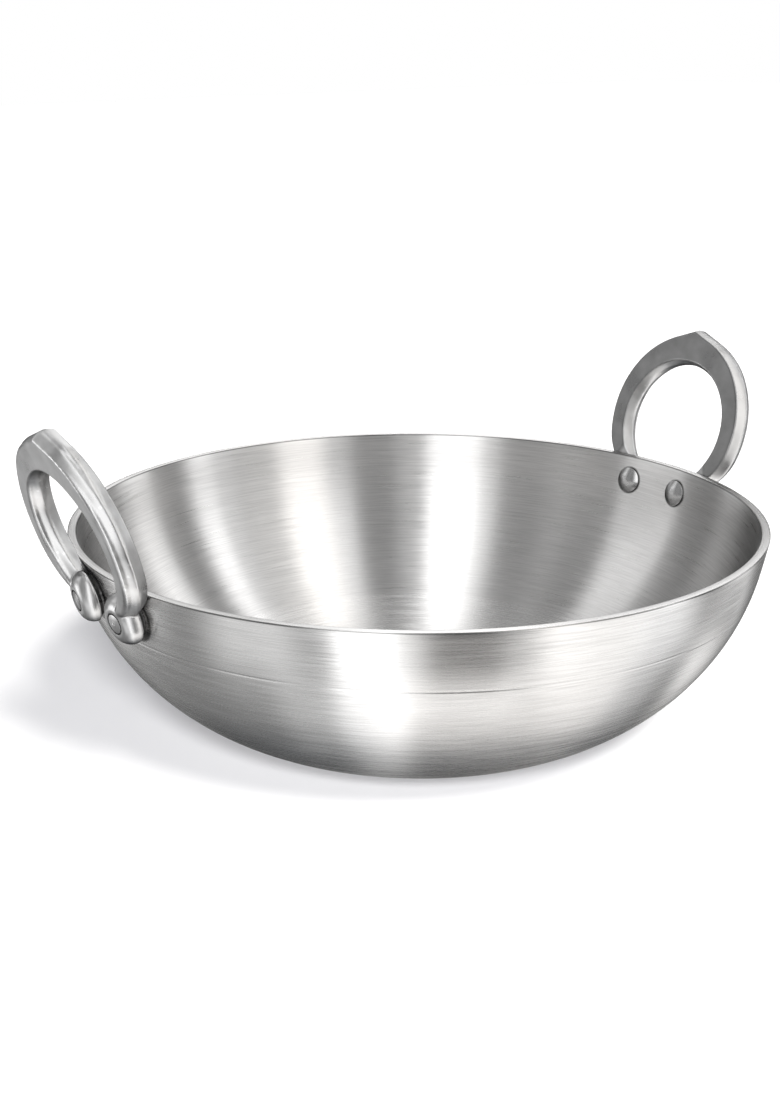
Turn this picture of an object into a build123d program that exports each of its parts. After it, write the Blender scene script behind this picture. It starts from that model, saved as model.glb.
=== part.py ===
"""Kadai: a deep, round-sided cooking bowl of heavy-gauge metal with two riveted loop handles.

The frame is +Z up with the origin at the centre of the flat base, in millimetres and degrees.
The handles stand at +X and -X. Each is one casting: a pointed loop that leans outwards,
and two round feet that sit on the bowl's side under the rim, each held by one solid rivet.
"""

import os
from math import acos, asin, cos, degrees, radians, sin, sqrt, tan

from build123d import *

# Bowl
rim_diameter = 280.0
rim_height = 82.5
base_share = 0.5  # of the rim's diameter
wall = 3.5
band_height = 11.5  # straight lip, from the rim down to the round side
band_flare = 12.3  # lean of the lip from vertical
knuckle_radius = 12.3  # bend where the base turns up into the side
rim_edge_round = 0.5
line_drop = 23.0  # turned line round the side, below the rim
line_width = 1.2
line_depth = 0.25

# Loop of a handle, sized on its parting plane, where it is widest
loop_half_width = 38.4
loop_widest_rise = 19.4  # where the loop is widest, above the rim and up the lean
shoulder_shift = 2.6  # the arcs over the widest point are struck from this far beyond the middle
leg_shift = 6.4  # and those under it, which makes the legs straighter
loop_bar_width = 12.0  # from the loop's round hole to its outside
hole_rise = 18.0  # centre of the loop's round hole above the rim, up the lean
loop_thickness = 9.2
loop_draft_inset = 2.0  # how far each face lies inside the parting line
loop_lean = 17.8  # outward lean of the loop from vertical
loop_face_offset = -2.0  # inner face of the loop, measured outwards from the rim's edge
crown_angle = 139.0  # included angle of the pointed crown
crown_round = 3.4
face_edge_chamfer = 0.6
leg_gap = 0.6  # between the back of the legs and the bowl; only the feet touch it

# Feet of a handle
rivet_spacing = 29.4
rivet_drop = 11.2  # rivet axes below the rim
foot_radius = 9.2
foot_back_inset = 0.8  # the foot's back is this much smaller in radius than its parting line
foot_back_chamfer = 1.1  # at the seat, so that the foot stands on a smaller circle
foot_seat_lift = 0.4  # the chamfer ends this high above the bowl
foot_face_radius = 5.4  # flat face round the rivet
foot_proud = 0.3  # the foot's face stands this much above the loop's face
pocket_radius = 4.2  # round the formed end of the rivet
pocket_depth = 1.1

# Rivets
rivet_radius = 3.2
rivet_clearance = 0.1  # round the shank, in the bowl and in the foot
head_radius = 5.6
head_height = 2.8
head_edge_height = 0.9  # upright edge under the dome
end_radius = 3.75
end_height = 1.5
end_crown = 0.4
end_pit_radius = 0.8
end_pit_depth = 0.4

# A cut runs this much past the face that it has to reach.
overrun = 1.0

# A piece that is trimmed to the bowl's skin starts this deep in the wall.
trim_depth = wall / 2

rim_radius = rim_diameter / 2
base_radius = rim_radius * base_share

hole_radius = loop_half_width - loop_bar_width

# Section of the bowl: flat base, knuckle, one round side and the flared band, all tangent.
flare = radians(band_flare)
band_inward = Vector(-cos(flare), sin(flare))
band_foot = Vector(rim_radius - band_height * tan(flare), rim_height - band_height)
knuckle_centre = Vector(base_radius, knuckle_radius)
span = band_foot - knuckle_centre
side_radius = (knuckle_radius**2 - span.length**2) / (2 * (band_inward.dot(span) + knuckle_radius))
side_centre = band_foot + band_inward * side_radius
knuckle_outward = (knuckle_centre - side_centre).normalized()


def section_points(depth):
    """Corners of the bowl's section at this depth below its outer skin, from the base up."""
    base_edge = Vector(base_radius, depth)
    knuckle_end = knuckle_centre + knuckle_outward * (knuckle_radius - depth)
    band_start = band_foot + band_inward * depth
    rim_edge = Vector(rim_radius - depth / cos(flare), rim_height)
    return base_edge, knuckle_end, band_start, rim_edge


def draw_skin(depth):
    """Draws one skin of the bowl, from the base up to the rim, into the line being built."""
    base_edge, knuckle_end, band_start, rim_edge = section_points(depth)
    knuckle = TangentArc(base_edge, knuckle_end, tangent=(1, 0))
    TangentArc(knuckle_end, band_start, tangent=knuckle % 1)
    Line(band_start, rim_edge)


def skin_at(drop):
    """Point on the outer skin at this depth below the rim, and the direction outwards there."""
    if drop <= band_height:
        return Vector(rim_radius - drop * tan(flare), rim_height - drop), -band_inward
    rise = rim_height - drop - side_centre.Y
    outwards = Vector(sqrt(side_radius**2 - rise**2), rise) / side_radius
    return side_centre + outwards * side_radius, outwards


def make_shell():
    """The bowl before its rivet holes, which also trims what sits on its skins."""
    inner_base_edge, _, _, inner_rim_edge = section_points(wall)
    with BuildPart() as shell:
        with BuildSketch(Plane.XZ):
            with BuildLine():
                Line((0, 0), (base_radius, 0))
                draw_skin(0)
                Line((rim_radius, rim_height), inner_rim_edge)
                draw_skin(wall)
                Line(inner_base_edge, (0, wall))
                Line((0, wall), (0, 0))
            make_face()
        revolve(axis=Axis.Z)
        rim_edges = shell.edges().filter_by(GeomType.CIRCLE).group_by(Axis.Z)[-1]
        fillet(rim_edges, radius=rim_edge_round)
    return shell.part


def make_bowl(shell):
    """The bowl: the shell with a turned line round it and a hole for each rivet."""
    with BuildPart() as bowl:
        add(shell)

        # The cutter's circle leaves the line's width and depth in the skin.
        cutter_radius = (line_width**2 / 4 + line_depth**2) / (2 * line_depth)
        line_point, line_outward = skin_at(line_drop)
        with BuildSketch(Plane.XZ):
            with Locations(line_point + line_outward * (cutter_radius - line_depth)):
                Circle(cutter_radius)
        revolve(axis=Axis.Z, mode=Mode.SUBTRACT)

        for side in (1, -1):
            for hand in (1, -1):
                with BuildSketch(rivet_plane(side, hand)):
                    Circle(rivet_radius + rivet_clearance)
                extrude(amount=wall + overrun, both=True, mode=Mode.SUBTRACT)
    bowl.part.label = "bowl"
    return bowl.part


def rivet_plane(side, hand):
    """Plane on the outer skin at one rivet, its normal along the rivet and outwards.

    side is 1 for the handle at +X and -1 for the other, hand is 1 for the rivet towards +Y.
    """
    point, slope = skin_at(rivet_drop)
    swing = asin(rivet_spacing / 2 / point.X)
    across = Vector(side * cos(swing), hand * sin(swing))
    seat = across * point.X + Vector(0, 0, point.Y)
    outwards = across * slope.X + Vector(0, 0, slope.Y)
    along = Vector(-hand * sin(swing), side * cos(swing))
    return Plane(origin=seat, x_dir=along, z_dir=outwards)


def profile_plane(seat):
    """Plane through a rivet's axis: local X is the radius and local Y runs up the rivet."""
    return Plane(origin=seat.origin, x_dir=seat.x_dir, z_dir=-seat.y_dir)


def loop_plane(side):
    """Parting plane of a handle's loop, with its local Y running up the lean."""
    lean = radians(loop_lean)
    outwards = Vector(side * cos(lean), 0, -sin(lean))
    rim_edge = Vector(side * rim_radius, 0, rim_height)
    middle = rim_edge + outwards * (loop_face_offset + loop_thickness / 2)
    return Plane(origin=middle, x_dir=(0, side, 0), z_dir=outwards)


def foot_height():
    """Height of a foot's face above the bowl's skin, along its rivet."""
    seat = rivet_plane(1, 1)
    loop = loop_plane(1)
    middle = (loop.origin - seat.origin).dot(loop.z_dir) / seat.z_dir.dot(loop.z_dir)
    return middle + loop_thickness / 2 + foot_proud


def loop_levels():
    """Heights over the parting plane and insets from the widest outline, from face to face."""
    half = loop_thickness / 2
    face_inset = loop_draft_inset + face_edge_chamfer
    upper = [(half - face_edge_chamfer, loop_draft_inset), (half, face_inset)]
    lower = [(-height, inset) for height, inset in reversed(upper)]
    return lower + [(0, 0)] + upper


def draw_outline(plane, inset):
    """Sketch of the loop's outer outline: a round loop with a pointed crown, drawn in by the inset."""
    flank_angle = crown_angle / 2
    flank = Vector(cos(radians(flank_angle)), sin(radians(flank_angle)))
    shoulder_radius = loop_half_width + shoulder_shift
    leg_radius = loop_half_width + leg_shift - inset
    leg_angle = degrees(acos(leg_shift / leg_radius))
    crown_rise = (shoulder_radius - crown_round - shoulder_shift * flank.X) / flank.Y
    crown = Vector(0, loop_widest_rise + crown_rise)
    with BuildSketch(plane) as outline:
        with BuildLine():
            leg_centre = (-leg_shift, loop_widest_rise)
            shoulder_centre = (-shoulder_shift, loop_widest_rise)
            CenterArc(leg_centre, leg_radius, -leg_angle, leg_angle)
            shoulder = CenterArc(shoulder_centre, shoulder_radius - inset, 0, flank_angle)
            tip = CenterArc(crown, crown_round - inset, flank_angle, 90 - flank_angle)
            Line(shoulder @ 1, tip @ 0)
            mirror(about=Plane.YZ)
        make_face()
    return outline.sketch


def draw_loop_hole(middle):
    """Half section of the loop's round hole, which widens from the parting plane to both faces."""
    half = loop_thickness / 2 + overrun
    with BuildSketch(profile_plane(middle)) as hole:
        with BuildLine():
            levels = [(hole_radius + inset, height) for height, inset in loop_levels()]
            Polyline((0, -half), (levels[0][0], -half), *levels, (levels[-1][0], half), (0, half))
            Line((0, half), (0, -half))
        make_face()
    return hole.sketch


def draw_opening(plane):
    """Sketch of the gap between the feet, bounded by lines from the hole's centre to the rivets."""
    centre = Vector(0, hole_rise)
    to_foot = Vector(rivet_spacing / 2, -rivet_drop) - centre
    beyond = to_foot * (2 * loop_half_width / to_foot.length)
    with BuildSketch(plane) as opening:
        with BuildLine():
            Polyline(centre, centre + beyond, centre + Vector(-beyond.X, beyond.Y), centre)
        make_face()
    return opening.sketch


def draw_clearance():
    """Half section of a cone that keeps the legs clear of the bowl's band."""
    reach = 2 * band_height
    gap = leg_gap / cos(flare)
    with BuildSketch(Plane.XZ) as clearance:
        with BuildLine():
            Polyline(
                (0, rim_height - reach),
                (rim_radius + gap - reach * tan(flare), rim_height - reach),
                (rim_radius + gap + reach * tan(flare), rim_height + reach),
                (0, rim_height + reach),
                (0, rim_height - reach),
            )
        make_face()
    return clearance.sketch


def draw_foot(seat, height):
    """Half section of a foot: small seat, widest on the parting line, rounded to a flat face."""
    parting = height - foot_proud - loop_thickness / 2
    back_radius = foot_radius - foot_back_inset
    seat_radius = back_radius - foot_back_chamfer
    with BuildSketch(profile_plane(seat)) as foot:
        with BuildLine():
            Polyline(
                (0, -trim_depth),
                (seat_radius, -trim_depth),
                (seat_radius, foot_seat_lift),
                (back_radius, foot_seat_lift + foot_back_chamfer),
                (foot_radius, parting),
            )
            TangentArc((foot_radius, parting), (foot_face_radius, height), tangent=(0, 1))
            Polyline((foot_face_radius, height), (0, height), (0, -trim_depth))
        make_face()
    return foot.sketch


def make_handle(side, label, shell):
    """One handle: a loop, widest on its parting plane, and two round feet bored for the rivets."""
    plane = loop_plane(side)
    middle = plane.shift_origin(plane.from_local_coords((0, hole_rise, 0)))
    height = foot_height()
    with BuildPart() as handle:
        outlines = [draw_outline(plane.offset(level), inset) for level, inset in loop_levels()]
        loft(outlines, ruled=True)
        revolve(
            draw_loop_hole(middle),
            axis=Axis(middle.origin, middle.z_dir),
            mode=Mode.SUBTRACT,
        )
        extrude(
            draw_opening(plane),
            amount=loop_thickness,
            dir=plane.z_dir,
            both=True,
            mode=Mode.SUBTRACT,
        )
        revolve(draw_clearance(), axis=Axis.Z, mode=Mode.SUBTRACT)
        for hand in (1, -1):
            seat = rivet_plane(side, hand)
            revolve(draw_foot(seat, height), axis=Axis(seat.origin, seat.z_dir))
        add(shell, mode=Mode.SUBTRACT)
        for hand in (1, -1):
            seat = rivet_plane(side, hand)
            with BuildSketch(seat):
                Circle(rivet_radius + rivet_clearance)
            extrude(amount=height + overrun, both=True, mode=Mode.SUBTRACT)
            with BuildSketch(seat.offset(height - pocket_depth)):
                Circle(pocket_radius)
            extrude(amount=pocket_depth + overrun, mode=Mode.SUBTRACT)
    handle.part.label = label
    return handle.part


def draw_head(seat):
    """Half section of a rivet's domed head inside the bowl, sunk in the wall for trimming."""
    edge = -wall - head_edge_height
    top = -wall - head_height
    with BuildSketch(profile_plane(seat)) as head:
        with BuildLine():
            TangentArc((0, top), (head_radius, edge), tangent=(1, 0))
            Polyline((head_radius, edge), (head_radius, -trim_depth), (0, -trim_depth), (0, top))
        make_face()
    return head.sketch


def draw_shank(seat, height):
    """Half section of a rivet's shank and of its formed end in the foot's pocket."""
    pocket_floor = height - pocket_depth
    top = pocket_floor + end_height
    edge = top - end_crown
    with BuildSketch(profile_plane(seat)) as shank:
        with BuildLine():
            Polyline(
                (0, -wall - head_edge_height),
                (rivet_radius, -wall - head_edge_height),
                (rivet_radius, pocket_floor),
                (end_radius, pocket_floor),
                (end_radius, edge),
            )
            TangentArc((0, top), (end_radius, edge), tangent=(1, 0))
            Line((0, top), (0, -wall - head_edge_height))
        make_face()
        with BuildLine():
            Polyline((0, top), (end_pit_radius, top), (0, top - end_pit_depth), (0, top))
        make_face(mode=Mode.SUBTRACT)
    return shank.sketch


def make_rivet(side, hand, label, shell):
    """One solid rivet: its head lies on the inner skin and its end is formed in the foot."""
    seat = rivet_plane(side, hand)
    rivet_axis = Axis(seat.origin, seat.z_dir)
    with BuildPart() as rivet:
        revolve(draw_head(seat), axis=rivet_axis)
        add(shell, mode=Mode.SUBTRACT)
        revolve(draw_shank(seat, foot_height()), axis=rivet_axis)
    rivet.part.label = label
    return rivet.part


def main():
    os.makedirs("parts", exist_ok=True)
    shell = make_shell()
    pieces = [make_bowl(shell)]
    for side, side_name in ((1, "right"), (-1, "left")):
        pieces.append(make_handle(side, side_name + "_handle", shell))
        for hand, hand_name in ((1, "back"), (-1, "front")):
            label = side_name + "_" + hand_name + "_rivet"
            pieces.append(make_rivet(side, hand, label, shell))
    for piece in pieces:
        export_step(piece, "parts/" + piece.label + ".step")
        box = piece.bounding_box()
        print(piece.label, len(piece.solids()), round(piece.volume, 1), box.min, box.max)
    print("foot height", round(foot_height(), 2), "side radius", round(side_radius, 2))


main()
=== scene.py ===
# Kadai: brushed bowl with two cast loop handles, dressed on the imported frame.
# Metres, +Z up, origin at the middle of the base, handles on +X and -X.
import math
import bmesh
import bpy
from mathutils import Matrix, Vector


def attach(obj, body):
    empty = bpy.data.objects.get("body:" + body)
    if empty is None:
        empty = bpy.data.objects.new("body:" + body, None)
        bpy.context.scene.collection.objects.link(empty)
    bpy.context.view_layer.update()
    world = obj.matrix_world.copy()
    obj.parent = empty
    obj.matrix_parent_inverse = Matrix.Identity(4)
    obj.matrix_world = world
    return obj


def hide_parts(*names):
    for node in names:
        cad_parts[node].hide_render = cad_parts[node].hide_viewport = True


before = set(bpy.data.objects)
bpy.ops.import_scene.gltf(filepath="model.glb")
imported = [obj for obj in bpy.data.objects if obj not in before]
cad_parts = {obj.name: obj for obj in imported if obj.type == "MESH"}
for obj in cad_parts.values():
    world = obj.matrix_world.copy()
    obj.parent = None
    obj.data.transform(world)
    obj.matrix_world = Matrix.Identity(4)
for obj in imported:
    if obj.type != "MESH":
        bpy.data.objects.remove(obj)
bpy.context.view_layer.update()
print("frame loaded:", ", ".join(sorted(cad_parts)))


def newObject(name, data):
    obj = bpy.data.objects.new(name, data)
    bpy.context.scene.collection.objects.link(obj)
    return obj


def arcPoints(centre, radius, start, end, steps):
    # points on an arc, angles in degrees from local +X
    points = []
    for i in range(steps + 1):
        a = math.radians(start + (end - start) * i / steps)
        points.append(Vector((centre[0] + radius * math.cos(a), centre[1] + radius * math.sin(a))))
    return points


def linePoints(start, end, steps):
    a, b = Vector(start), Vector(end)
    return [a.lerp(b, i / steps) for i in range(steps + 1)]


def joinRuns(*runs):
    # one list of points, without the doubles where two runs meet
    points = []
    for run in runs:
        for p in run:
            if not points or (p - points[-1]).length > 1e-7:
                points.append(p)
    return points


def sectionMesh(name, points):
    # a chain of vertices in the XZ plane: local X is the radius, local Y the height
    mesh = bpy.data.meshes.new(name)
    mesh.from_pydata([(p.x, 0, p.y) for p in points], [(i, i + 1) for i in range(len(points) - 1)], [])
    return mesh


def addNode(tree, kind, inputs, **settings):
    # a node with its settings; for its inputs, a socket is linked and a plain value is set
    node = tree.nodes.new(kind)
    for key, value in settings.items():
        setattr(node, key, value)
    for key, value in inputs.items():
        if isinstance(value, bpy.types.NodeSocket):
            tree.links.new(value, node.inputs[key])
        else:
            node.inputs[key].default_value = value
    return node


def mathNode(tree, operation, *values):
    return addNode(tree, "ShaderNodeMath", dict(enumerate(values)), operation=operation).outputs[0]


def vectorNode(tree, operation, *values):
    node = addNode(tree, "ShaderNodeVectorMath", dict(enumerate(values)), operation=operation)
    return node.outputs["Value" if operation in ("LENGTH", "DOT_PRODUCT") else "Vector"]


def scaleNode(tree, vector, factor):
    return addNode(tree, "ShaderNodeVectorMath", {0: vector, "Scale": factor}, operation="SCALE").outputs[0]


def rangeNode(tree, value, low, high, fromLow=0.3, fromHigh=0.7, kind="LINEAR"):
    # fromLow becomes low and fromHigh becomes high; nothing goes past them
    inputs = {"Value": value, "From Min": fromLow, "From Max": fromHigh, "To Min": low, "To Max": high}
    return addNode(tree, "ShaderNodeMapRange", inputs, interpolation_type=kind).outputs["Result"]


def noiseNode(tree, vector, scale, detail, roughness=0.5):
    inputs = {"Vector": vector, "Scale": scale, "Detail": detail, "Roughness": roughness}
    return addNode(tree, "ShaderNodeTexNoise", inputs).outputs["Fac"]


def splitNode(tree, vector):
    return addNode(tree, "ShaderNodeSeparateXYZ", {0: vector}).outputs


def objectCoords(tree):
    return tree.nodes.new("ShaderNodeTexCoord").outputs["Object"]


def insideShare(tree):
    # 1 on the bowl's inner skin and 0 outside, as markInside writes it
    return addNode(tree, "ShaderNodeAttribute", {}, attribute_name="inside").outputs["Fac"]


def axisDistance(tree, x, y):
    squares = [mathNode(tree, "MULTIPLY", side, side) for side in (x, y)]
    return mathNode(tree, "SQRT", mathNode(tree, "ADD", *squares))


def addShares(tree, a, b, share):
    # one value made of both, with this share of b
    return mathNode(
        tree, "ADD",
        mathNode(tree, "MULTIPLY", a, 1 - share),
        mathNode(tree, "MULTIPLY", b, share))


def ringVector(tree, around, along, offset=0.0):
    # a noise space wrapped round Z: short across the brush lines, long along them, with no seam
    x, y, z = splitNode(tree, objectCoords(tree))
    radius = axisDistance(tree, x, y)
    safe = mathNode(tree, "MAXIMUM", radius, 0.0005)  # the pole has no direction
    run = mathNode(tree, "ADD", mathNode(tree, "ADD", radius, z), offset)
    ring = [mathNode(tree, "MULTIPLY", mathNode(tree, "DIVIDE", side, safe), around) for side in (x, y)]
    ring.append(mathNode(tree, "MULTIPLY", run, along))
    return addNode(tree, "ShaderNodeCombineXYZ", dict(enumerate(ring))).outputs[0]


def mixTones(tree, colour, contrast, factor):
    # a colour that swings this share darker and lighter with the factor
    dark = tuple(c * (1 - contrast) for c in colour) + (1,)
    light = tuple(min(1, c * (1 + contrast)) for c in colour) + (1,)
    mix = addNode(tree, "ShaderNodeMix", {"Factor": factor, "A": dark, "B": light}, data_type="RGBA")
    return mix.outputs["Result"]


def blendColours(tree, share, a, b):
    mix = addNode(tree, "ShaderNodeMix", {"Factor": share, "A": a, "B": b}, data_type="VECTOR")
    return mix.outputs["Result"]


def bumpNode(tree, height, strength, depth, normal=None):
    bump = addNode(tree, "ShaderNodeBump", {"Height": height, "Strength": strength, "Distance": depth})
    if normal is not None:
        tree.links.new(normal, bump.inputs["Normal"])
    return bump.outputs[0]


def shadeColour(material, share):
    # the metal's colour times this share
    tree = material.node_tree
    colour = tree.nodes["Principled BSDF"].inputs["Base Color"]
    tree.links.new(scaleNode(tree, colour.links[0].from_socket, share), colour)


def newTree(name):
    tree = bpy.data.node_groups.new(name, "GeometryNodeTree")
    tree.interface.new_socket("Geometry", in_out="OUTPUT", socket_type="NodeSocketGeometry")
    return tree


def addInput(tree, name, kind, value=None):
    socket = tree.interface.new_socket(name, in_out="INPUT", socket_type=kind)
    if value is not None:
        socket.default_value = value
    return socket.identifier


def finishTree(tree, shape, metal):
    # the shape is made real, takes its metal and goes out
    real = addNode(tree, "GeometryNodeRealizeInstances", {"Geometry": shape})
    paint = addNode(tree, "GeometryNodeSetMaterial", {"Geometry": real.outputs[0], "Material": metal})
    addNode(tree, "NodeGroupOutput", {"Geometry": paint.outputs[0]})


def buildSpinTree():
    # spins a section about Z: a grid is rolled up, and each row takes its point from the section
    tree = newTree("spunSheet")
    addInput(tree, "Section", "NodeSocketGeometry")
    keys = {"turns": addInput(tree, "Turns", "NodeSocketInt", 96)}  # columns round the axis
    addInput(tree, "Weld Distance", "NodeSocketFloat", 1e-6)
    keys["metal"] = addInput(tree, "Metal", "NodeSocketMaterial")
    given = tree.nodes.new("NodeGroupInput").outputs
    count = addNode(tree, "GeometryNodeAttributeDomainSize", {"Geometry": given["Section"]})
    rows = count.outputs["Point Count"]
    columns = mathNode(tree, "ADD", given["Turns"], 1)
    grid = addNode(tree, "GeometryNodeMeshGrid", {
        "Size X": 1, "Size Y": 1, "Vertices X": rows, "Vertices Y": columns})
    place = tree.nodes.new("GeometryNodeInputPosition").outputs[0]
    x, y, _ = splitNode(tree, place)  # the grid runs from -0.5 to 0.5 across and along
    across = mathNode(tree, "ADD", x, 0.5)
    row = mathNode(tree, "ROUND", mathNode(tree, "MULTIPLY", across, mathNode(tree, "SUBTRACT", rows, 1)))
    turn = mathNode(tree, "MULTIPLY", y, 2 * math.pi)
    pick = addNode(tree, "GeometryNodeSampleIndex", {}, data_type="FLOAT_VECTOR", domain="POINT")
    for key, value in (("Geometry", given["Section"]), ("Value", place), ("Index", row)):
        tree.links.new(value, pick.inputs[key])
    roll = addNode(tree, "ShaderNodeVectorRotate", {}, rotation_type="Z_AXIS")
    tree.links.new(pick.outputs["Value"], roll.inputs["Vector"])
    tree.links.new(turn, roll.inputs["Angle"])
    rolled = addNode(tree, "GeometryNodeSetPosition", {
        "Geometry": grid.outputs["Mesh"], "Position": roll.outputs[0]})
    weld = addNode(tree, "GeometryNodeMergeByDistance", {
        "Geometry": rolled.outputs[0], "Distance": given["Weld Distance"]})
    smooth = addNode(tree, "GeometryNodeSetShadeSmooth", {"Geometry": weld.outputs[0]})
    finishTree(tree, smooth.outputs[0], given["Metal"])
    return tree, keys


def buildSeatTree():
    # sets one copy of a fastener on each seat point, turned as the point says
    tree = newTree("seatedRivets")
    addInput(tree, "Seats", "NodeSocketGeometry")
    keys = {"rivet": addInput(tree, "Rivet", "NodeSocketObject")}
    addInput(tree, "Size", "NodeSocketFloat", 1.0)
    keys["metal"] = addInput(tree, "Metal", "NodeSocketMaterial")
    given = tree.nodes.new("NodeGroupInput").outputs
    shape = addNode(tree, "GeometryNodeObjectInfo", {"Object": given["Rivet"]})
    turn = addNode(tree, "GeometryNodeInputNamedAttribute", {"Name": "turn"}, data_type="FLOAT_VECTOR")
    euler = addNode(tree, "FunctionNodeEulerToRotation", {0: turn.outputs["Attribute"]})
    copies = addNode(tree, "GeometryNodeInstanceOnPoints", {
        "Points": given["Seats"], "Instance": shape.outputs["Geometry"],
        "Rotation": euler.outputs[0], "Scale": given["Size"]})
    finishTree(tree, copies.outputs[0], given["Metal"])
    return tree, keys


def evaluatedMesh(obj):
    # the shape that the modifiers make, as a plain mesh
    bpy.context.view_layer.update()
    depsgraph = bpy.context.evaluated_depsgraph_get()
    return bpy.data.meshes.new_from_object(obj.evaluated_get(depsgraph))


def bakeModifiers(obj, name):
    mesh = evaluatedMesh(obj)
    mesh.name = name
    baked = newObject(name, mesh)
    bpy.data.objects.remove(obj)
    return baked


def applyModifier(obj, kind, **settings):
    modifier = obj.modifiers.new(kind.lower(), kind)
    for key, value in settings.items():
        setattr(modifier, key, value)
    mesh = evaluatedMesh(obj)
    obj.modifiers.clear()
    old = obj.data
    obj.data = mesh
    bpy.data.meshes.remove(old)


def faceOutwards(mesh):
    bm = bmesh.new()
    bm.from_mesh(mesh)
    bmesh.ops.remove_doubles(bm, verts=bm.verts, dist=1e-7)
    bmesh.ops.dissolve_degenerate(bm, edges=bm.edges, dist=1e-8)
    bmesh.ops.recalc_face_normals(bm, faces=bm.faces)
    bm.to_mesh(mesh)
    bm.free()


def spinSection(name, points, turns, material):
    obj = newObject(name + "Section", sectionMesh(name + "Section", points))
    modifier = obj.modifiers.new("spin", "NODES")
    modifier.node_group = spinTree
    modifier[spinKeys["turns"]] = turns
    modifier[spinKeys["metal"]] = material
    baked = bakeModifiers(obj, name)
    faceOutwards(baked.data)
    return baked


def sharpenEdges(mesh, degrees):
    # smooth faces, with an edge kept crisp where the surface turns by more than this
    bm = bmesh.new()
    bm.from_mesh(mesh)
    for face in bm.faces:
        face.smooth = True
    for edge in bm.edges:
        edge.smooth = not (len(edge.link_faces) == 2 and edge.calc_face_angle(0) > math.radians(degrees))
    bm.to_mesh(mesh)
    bm.free()


def newMetal(name, colour, roughness, edgeTint):
    material = bpy.data.materials.new(name)
    material.use_nodes = True
    shader = material.node_tree.nodes["Principled BSDF"]
    shader.inputs["Base Color"].default_value = (*colour, 1)
    shader.inputs["Metallic"].default_value = 1
    shader.inputs["Roughness"].default_value = roughness
    shader.inputs["Specular Tint"].default_value = (edgeTint, edgeTint, edgeTint, 1)
    material.diffuse_color = (*colour, 1)
    return material, material.node_tree, shader


brush = {
    "colour": (0.66, 0.655, 0.65),
    "edgeTint": 0.52,  # steel seen edge-on is darker than a perfect mirror would be
    "roughness": 0.27,
    "innerRoughness": 0.30,
    "unevenness": 0.03,  # of the roughness, with the broad lines
    "anisotropy": 0.85,
    "innerAnisotropy": 0.97,
    "rotation": 0.25,  # of a turn, from the tangent round the axis
    "fineLines": 2700.0,  # per metre across the brushing
    "broadLines": 950.0,
    "broadShare": 0.4,
    "fineLength": 7.5,  # higher is shorter
    "broadLength": 4.5,
    "broadShift": 0.37,  # keeps the two off each other
    "contrast": 0.11,
    "contrastZone": (0.38, 0.62),  # the noise between these takes up the whole contrast
    "waver": 0.006,
    "waverZone": (0.35, 0.65),
    "bump": 0.05,
    "bumpDepth": 0.0002,
}


def makeBrushedMetal(name):
    material, tree, shader = newMetal(name, brush["colour"], brush["roughness"], brush["edgeTint"])
    fineRings = ringVector(tree, brush["fineLength"], brush["fineLines"])
    broadRings = ringVector(tree, brush["broadLength"], brush["broadLines"], brush["broadShift"])
    fine = noiseNode(tree, fineRings, scale=1.0, detail=2.0, roughness=0.6)
    broad = noiseNode(tree, broadRings, scale=1.0, detail=3.0, roughness=0.6)
    lines = addShares(tree, fine, broad, brush["broadShare"])
    swing = rangeNode(tree, lines, 0, 1, *brush["contrastZone"])
    inside = insideShare(tree)
    wearAndCreaseShade = rangeNode(tree, inside, brush["roughness"], brush["innerRoughness"], 0, 1)
    uneven = rangeNode(tree, broad, -brush["unevenness"], brush["unevenness"])
    grained = rangeNode(tree, inside, brush["anisotropy"], brush["innerAnisotropy"], 0, 1)
    tangent = addNode(tree, "ShaderNodeTangent", {}, direction_type="RADIAL", axis="Z").outputs[0]
    # each brush line faces a little to one side, which frays the edges of reflections
    lean = rangeNode(tree, lines, -brush["waver"], brush["waver"], *brush["waverZone"])
    bump = bumpNode(tree, lines, brush["bump"], brush["bumpDepth"])
    swayed = vectorNode(tree, "ADD", bump, scaleNode(tree, tangent, lean))
    for key, value in (
        ("Base Color", mixTones(tree, brush["colour"], brush["contrast"], swing)),
        ("Roughness", mathNode(tree, "ADD", wearAndCreaseShade, uneven)),
        ("Anisotropic", grained),
        ("Tangent", tangent),
        ("Normal", vectorNode(tree, "NORMALIZE", swayed)),
    ):
        tree.links.new(value, shader.inputs[key])
    shader.inputs["Anisotropic Rotation"].default_value = brush["rotation"]
    return material


cast = {
    "colour": (0.55, 0.55, 0.55),
    "edgeTint": 0.30,
    "roughness": 0.31,
    "glossZone": (-0.05, 0.08),  # how far the roughness wanders
    "swell": 62.0,  # the hand-finished faces are never quite flat
    "swellDepth": 0.0009,
    "cloud": 110.0,
    "mottle": 0.12,
    "mottleZone": (0.35, 0.65),
    "grain": 420.0,
    "grainShare": 0.3,
    "bump": 0.07,
    "bumpDepth": 0.0004,
    "crease": 0.35,  # painted shade in creases
    "creaseZone": (0.42, 0.49),
    "ridge": 1.2,  # painted highlight along ridges
    "ridgeZone": (0.51, 0.58),
    "rivetColour": (0.50, 0.50, 0.50),  # the rivets are turned from the same steel
    "rivetRoughness": 0.24,
    "backShade": 0.42,  # painted shade on the faces towards the bowl
    "backZone": (0.00012, 0.0005),  # from the back face
}


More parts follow.
